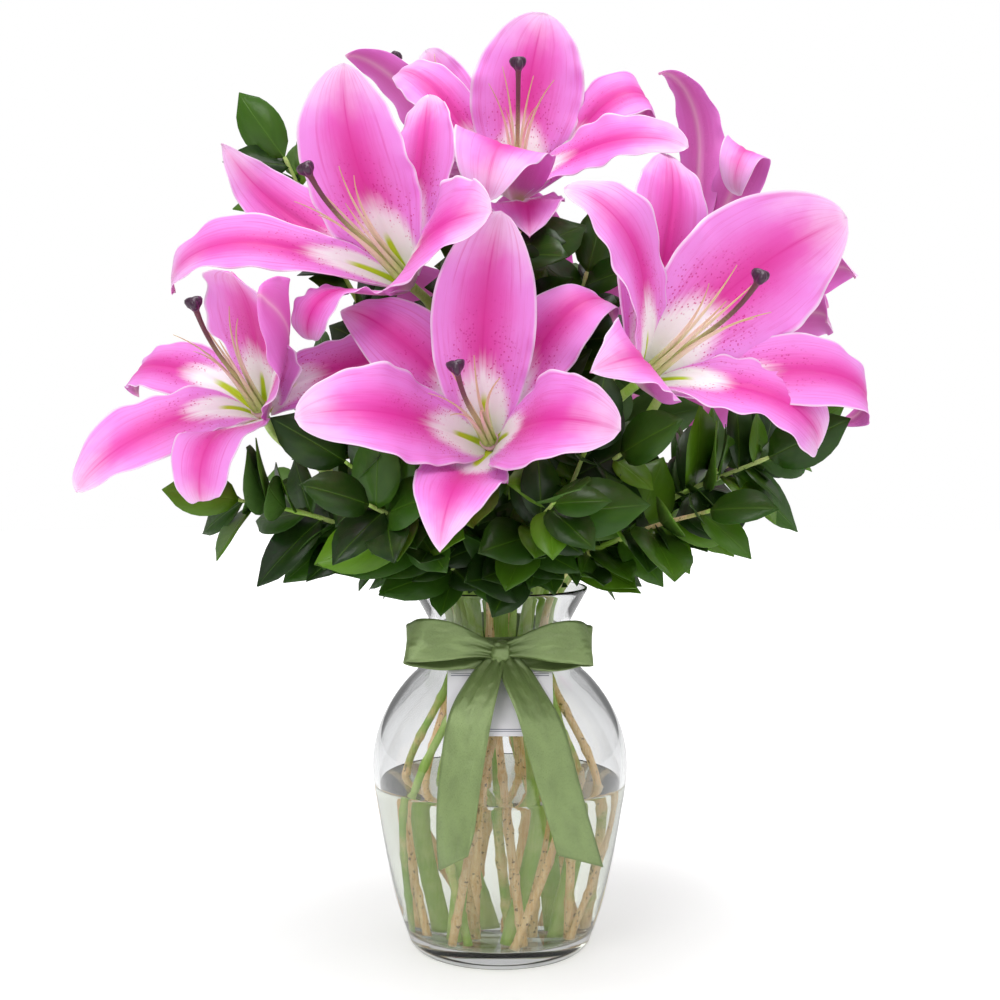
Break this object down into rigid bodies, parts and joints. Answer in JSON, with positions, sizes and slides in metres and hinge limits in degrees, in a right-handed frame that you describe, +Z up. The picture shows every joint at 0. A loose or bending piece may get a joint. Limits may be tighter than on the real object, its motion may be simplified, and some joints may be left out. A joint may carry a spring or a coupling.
{
  "type": "vase of lilies",
  "caption": "Bouquet of large pink oriental lilies with glossy broad-leaved greens, standing in a clear glass vase of water with a satin ribbon bow and a blank card.",
  "frame": {"origin": "centre of the vase's foot, on the surface that it stands on", "axes": "+Z up along the vase's axis, -Y towards the front, where the bow and the card are, +X to the right as seen from the front"},
  "size_m": [0.4328, 0.3572, 0.5506],
  "materials": {
    "clear_glass": "clear, smooth and shiny",
    "water": "clear still water",
    "satin_ribbon": "sage green satin weave with a soft sheen along the threads",
    "card_paper": "white uncoated card with thin grey border lines, no lettering",
    "lily_petal": "pink, darker along the midrib, white in the throat and at the margins, with magenta freckles",
    "pistil": "pale yellow-green filaments and style, with a dark purple stigma",
    "lily_stem": "smooth green stem",
    "leaf": "glossy dark green with a paler midrib, and green to tan woody stems"
  },
  "bodies": {
    "root": {"vase": "clear_glass", "water": "water", "ribbon": "satin_ribbon", "card": "card_paper", "bloom_front": "lily_petal", "bloom_upper_left": "lily_petal", "bloom_left": "lily_petal", "bloom_top": "lily_petal", "bloom_right": "lily_petal", "bloom_top_back_left": "lily_petal", "bloom_top_back_right": "lily_petal", "bloom_right_back": "lily_petal", "bloom_back": "lily_petal", "centre_front": "pistil", "centre_upper_left": "pistil", "centre_left": "pistil", "centre_top": "pistil", "centre_right": "pistil", "centre_top_back_left": "pistil", "centre_top_back_right": "pistil", "centre_right_back": "pistil", "centre_back": "pistil", "lily_stem_1": "lily_stem", "lily_stem_2": "lily_stem", "lily_stem_3": "lily_stem", "lily_stem_4": "lily_stem", "lily_stem_5": "lily_stem", "lily_stem_6": "lily_stem", "leafy_stem_1": "leaf", "leafy_stem_2": "leaf", "leafy_stem_3": "leaf", "leafy_stem_4": "leaf", "leafy_stem_5": "leaf", "leafy_stem_6": "leaf", "leafy_stem_7": "leaf", "leafy_stem_8": "leaf", "leafy_stem_9": "leaf", "leafy_stem_10": "leaf", "leafy_stem_11": "leaf", "leafy_stem_12": "leaf", "leafy_stem_13": "leaf", "leafy_stem_14": "leaf", "leafy_stem_15": "leaf", "leafy_stem_16": "leaf", "leafy_stem_17": "leaf", "leafy_stem_18": "leaf", "leafy_stem_19": "leaf", "leafy_stem_20": "leaf", "leafy_stem_21": "leaf", "leafy_stem_22": "leaf"}
  },
  "joints": []
}
